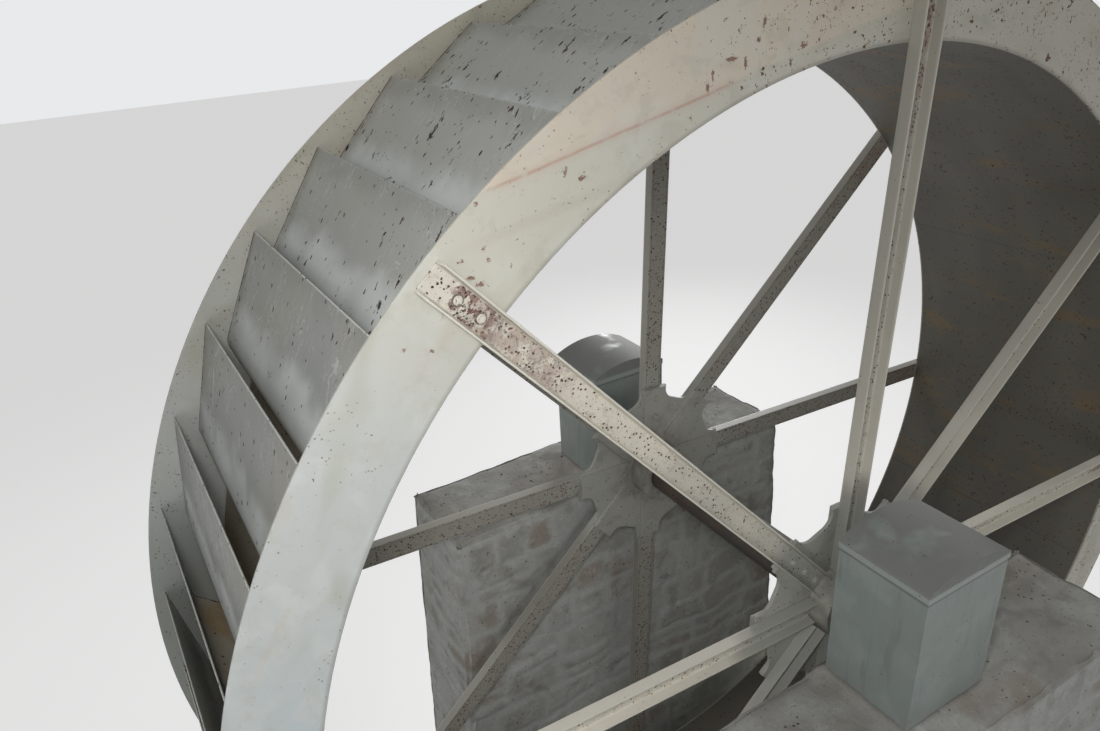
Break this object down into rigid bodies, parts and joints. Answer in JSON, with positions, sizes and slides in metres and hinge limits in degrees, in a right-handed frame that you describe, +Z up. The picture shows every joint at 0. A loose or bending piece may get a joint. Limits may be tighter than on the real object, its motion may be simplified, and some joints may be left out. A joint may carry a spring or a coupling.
{
  "type": "overshot water wheel on masonry piers",
  "caption": "Steel overshot water wheel with two plate shrouds, channel spokes, cast spider hubs and bent sheet buckets, turning in covered bearings on two stone piers",
  "frame": {"origin": "ground level at the foot of the piers, under the middle of the axle", "axes": "+X across the wheel, in its plane; +Y along the axle, from the near side to the far side; +Z up"},
  "size_m": [4.88, 2.896, 5.04],
  "materials": {
    "cream_paint": "old cream paint, flaked to rust",
    "hub_paint": "dull cream paint on cast iron",
    "sheet_paint": "dull grey paint with dark rust flakes",
    "box_paint": "blue grey paint on sheet metal",
    "iron": "dark oily iron",
    "masonry": "limewashed rubble masonry"
  },
  "bodies": {
    "supports": {"near_pier": "masonry", "far_pier": "masonry", "near_bearing": "iron", "far_bearing": "iron", "near_bearing_cap": "iron", "far_bearing_cap": "iron", "near_cover": "box_paint", "far_cover": "box_paint", "near_cover_lid": "box_paint", "far_cover_lid": "box_paint"},
    "wheel": {"shaft": "iron", "near_hub": "hub_paint", "far_hub": "hub_paint", "near_shroud": "cream_paint", "far_shroud": "cream_paint", "sole_plates": "sheet_paint", "near_spoke_1": "cream_paint", "near_spoke_2": "cream_paint", "near_spoke_3": "cream_paint", "near_spoke_4": "cream_paint", "near_spoke_5": "cream_paint", "near_spoke_6": "cream_paint", "near_spoke_7": "cream_paint", "near_spoke_8": "cream_paint", "far_spoke_1": "cream_paint", "far_spoke_2": "cream_paint", "far_spoke_3": "cream_paint", "far_spoke_4": "cream_paint", "far_spoke_5": "cream_paint", "far_spoke_6": "cream_paint", "far_spoke_7": "cream_paint", "far_spoke_8": "cream_paint", "buckets_1": "sheet_paint", "buckets_2": "sheet_paint", "buckets_3": "sheet_paint", "buckets_4": "sheet_paint", "buckets_5": "sheet_paint", "buckets_6": "sheet_paint", "buckets_7": "sheet_paint", "buckets_8": "sheet_paint"}
  },
  "joints": [
    {"name": "wheel_spin", "type": "hinge", "parent": "supports", "child": "wheel", "pos_m": [0, 0, 2.6], "axis": [0, 1, 0], "continuous": true}
  ]
}
